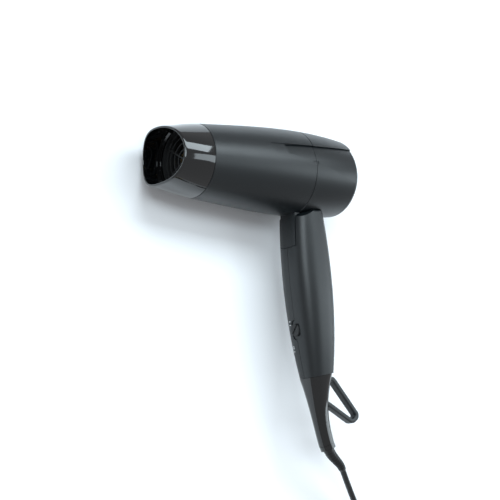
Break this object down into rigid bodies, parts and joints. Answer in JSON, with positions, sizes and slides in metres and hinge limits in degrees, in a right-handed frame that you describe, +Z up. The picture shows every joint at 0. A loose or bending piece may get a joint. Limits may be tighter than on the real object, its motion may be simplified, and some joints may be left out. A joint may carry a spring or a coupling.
{
  "type": "travel hair dryer",
  "caption": "Hair dryer with a round barrel, push-on concentrator nozzle, folding boxy-oval handle, slide switch, hanging loop and a mains lead with plug.",
  "frame": {"origin": "centre of the underside of the box round the dryer without its lead, lying on its side on a table", "axes": "+X along the barrel towards the air inlet, +Y towards the barrel's top (the handle points to -Y), +Z up, out of the side that faces up"},
  "size_m": [0.2828, 0.4506, 0.0714],
  "materials": {
    "shell_charcoal": "fine satin moulded ABS",
    "gloss_black": "polished black",
    "matte_black": "moulded",
    "fan_white": "moulded",
    "rubber_black": "smooth PVC sheath",
    "tie_black": "hook and loop strap",
    "steel": "plated",
    "washer_nylon": "natural nylon",
    "mica": "pressed mica sheet",
    "heater_wire": "resistance wire",
    "component_black": "moulded component",
    "component_metal": "plain can",
    "brass": "bright",
    "wire_brown": "PVC insulation",
    "wire_blue": "PVC insulation"
  },
  "bodies": {
    "handle": {"cord": "rubber_black", "cord_coil": "rubber_black", "cord_grip": "matte_black", "cord_grip_screw": "steel", "cord_guard": "gloss_black", "cord_tail": "rubber_black", "cord_tie": "tie_black", "guard_collar": "gloss_black", "handle_left": "shell_charcoal", "handle_right": "shell_charcoal", "handle_screws": "steel", "hanging_loop": "rubber_black", "hinge_pin": "steel", "hinge_washer_left": "washer_nylon", "hinge_washer_right": "washer_nylon", "plug_body": "rubber_black", "plug_earth_pin": "brass", "plug_line_pins": "brass", "selector_switch": "matte_black", "slide_switch": "matte_black", "strain_relief": "rubber_black", "wire_live": "wire_brown", "wire_neutral": "wire_blue"},
    "barrel": {"barrel": "shell_charcoal", "rear_cover": "shell_charcoal", "inlet_grille": "matte_black", "lint_screen": "steel", "outlet_spigot": "matte_black", "fan_duct": "matte_black", "motor_can": "steel", "mica_board_flat": "mica", "mica_board_upright": "mica", "mica_sleeve": "mica", "diode_plate": "mica", "heating_coil": "heater_wire", "rectifier_diodes": "component_black", "thermal_cutout": "component_black", "thermal_fuse": "component_metal"},
    "snap_ring": {"nozzle_snap_ring": "steel"},
    "nozzle": {"nozzle": "gloss_black"},
    "fan": {"fan_rotor": "fan_white", "motor_shaft": "steel"},
    "switch_knob": {"switch_knob": "matte_black"},
    "voltage_selector": {"voltage_selector": "matte_black"}
  },
  "joints": [
    {"name": "fold", "type": "hinge", "parent": "handle", "child": "barrel", "pos_m": [0.03923, 0.05203, 0.03572], "axis": [0, 0, 1], "range_deg": [0, 90]},
    {"name": "nozzle_turn", "type": "hinge", "parent": "barrel", "child": "snap_ring", "pos_m": [-0.07197, 0.10553, 0.03572], "axis": [1, 0, 0], "continuous": true},
    {"name": "nozzle_pull", "type": "slide", "parent": "snap_ring", "child": "nozzle", "axis": [-1, 0, 0], "range_m": [0, 0.04]},
    {"name": "fan_spin", "type": "hinge", "parent": "barrel", "child": "fan", "pos_m": [0.06822, 0.10553, 0.03572], "axis": [1, 0, 0], "continuous": true},
    {"name": "switch_slide", "type": "slide", "parent": "handle", "child": "switch_knob", "axis": [-0.1583, 0.9874, 0], "range_m": [-0.003, 0.003]},
    {"name": "selector_turn", "type": "hinge", "parent": "handle", "child": "voltage_selector", "pos_m": [0.07116, 0.00153, 0.03572], "axis": [1, 0, 0], "range_deg": [0, 90]}
  ]
}
